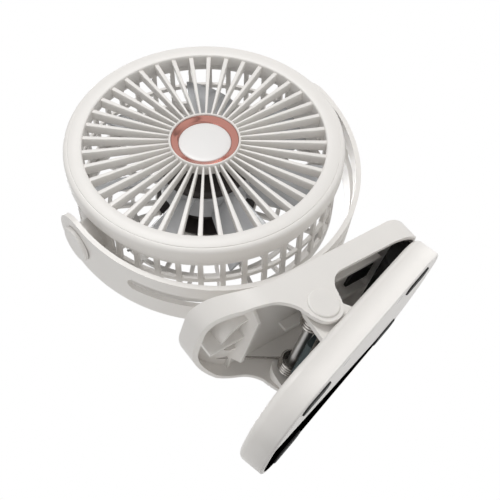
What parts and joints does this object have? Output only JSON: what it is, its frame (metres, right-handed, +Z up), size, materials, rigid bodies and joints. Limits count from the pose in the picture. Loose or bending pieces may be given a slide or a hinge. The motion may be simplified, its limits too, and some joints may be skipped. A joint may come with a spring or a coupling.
{
  "type": "clip fan",
  "caption": "Portable clip fan: round grille head tilting in a U yoke that swivels on a sprung clip base with rubber feet.",
  "frame": {"origin": "middle of the whole fan's bounding box in plan, at the height of the surface that the feet stand on", "axes": "+X along the clip from its handle to its tips, +Z up away from the base, +Y from the pictured side to the far side"},
  "size_m": [0.2198, 0.0906, 0.2287],
  "materials": {
    "white_plastic": "satin moulded, warm white",
    "black_rubber": "matte",
    "slate_rubber": "matte",
    "cell_wrap": "smooth film",
    "steel": "satin",
    "spring_steel": "drawn wire",
    "dark_plastic": "fine texture",
    "rose_gold": "bright plated",
    "board": "lacquered",
    "magnet": "sintered",
    "smoke_plastic": "translucent moulded"
  },
  "bodies": {
    "base": {"base_shell": "white_plastic", "base_cover": "white_plastic", "rubber_feet": "black_rubber", "cover_screws": "steel", "base_pad": "black_rubber", "throat_pad": "slate_rubber", "battery_cell": "cell_wrap"},
    "upper_jaw": {"jaw_shell": "white_plastic", "hinge_pin": "steel", "hinge_caps": "white_plastic", "jaw_pad": "black_rubber", "spring_near": "spring_steel", "spring_far": "spring_steel"},
    "yoke": {"yoke_band": "white_plastic", "swivel_screw": "steel", "swivel_washer": "steel", "swivel_nut": "steel", "pivot_caps": "white_plastic"},
    "head": {"front_grille": "white_plastic", "hub_trim_ring": "rose_gold", "hub_cap": "white_plastic", "head_housing": "white_plastic", "pivot_pins": "steel", "pivot_washers": "dark_plastic", "rear_grille": "white_plastic", "circuit_board": "board", "charging_socket": "steel", "button_switch": "dark_plastic", "motor_can": "dark_plastic", "bearings": "steel", "motor_screws": "steel"},
    "rotor": {"motor_shaft": "steel", "hub_cup": "dark_plastic", "magnet_ring": "magnet", "fan_blades": "smoke_plastic", "lock_nut": "dark_plastic"},
    "button": {"power_button": "white_plastic"}
  },
  "joints": [
    {"name": "jaw_hinge", "type": "hinge", "parent": "base", "child": "upper_jaw", "pos_m": [-0.03923, 0.00143, 0.0283], "axis": [0, -1, 0], "range_deg": [0, 30], "stiffness_Nm_per_rad": 1.2, "springref_deg": -51.57, "deforming": ["spring_near", "spring_far"]},
    {"name": "yoke_swivel", "type": "hinge", "parent": "upper_jaw", "child": "yoke", "pos_m": [0.01836, 0.00143, 0.14313], "axis": [0.2419, 0, 0.9703], "range_deg": [-168, 192]},
    {"name": "head_tilt", "type": "hinge", "parent": "yoke", "child": "head", "pos_m": [0.01836, 0.00143, 0.14313], "axis": [0.9491, -0.2079, -0.2366], "range_deg": [-90, 90]},
    {"name": "rotor_spin", "type": "hinge", "parent": "head", "child": "rotor", "pos_m": [0.01836, 0.00143, 0.14313], "axis": [-0.1749, -0.9726, 0.1531], "continuous": true},
    {"name": "button_press", "type": "slide", "parent": "head", "child": "button", "axis": [-0.1749, -0.9726, 0.1531], "range_m": [0, 0.001], "stiffness_N_per_m": 600, "springref_m": -0.0012}
  ]
}
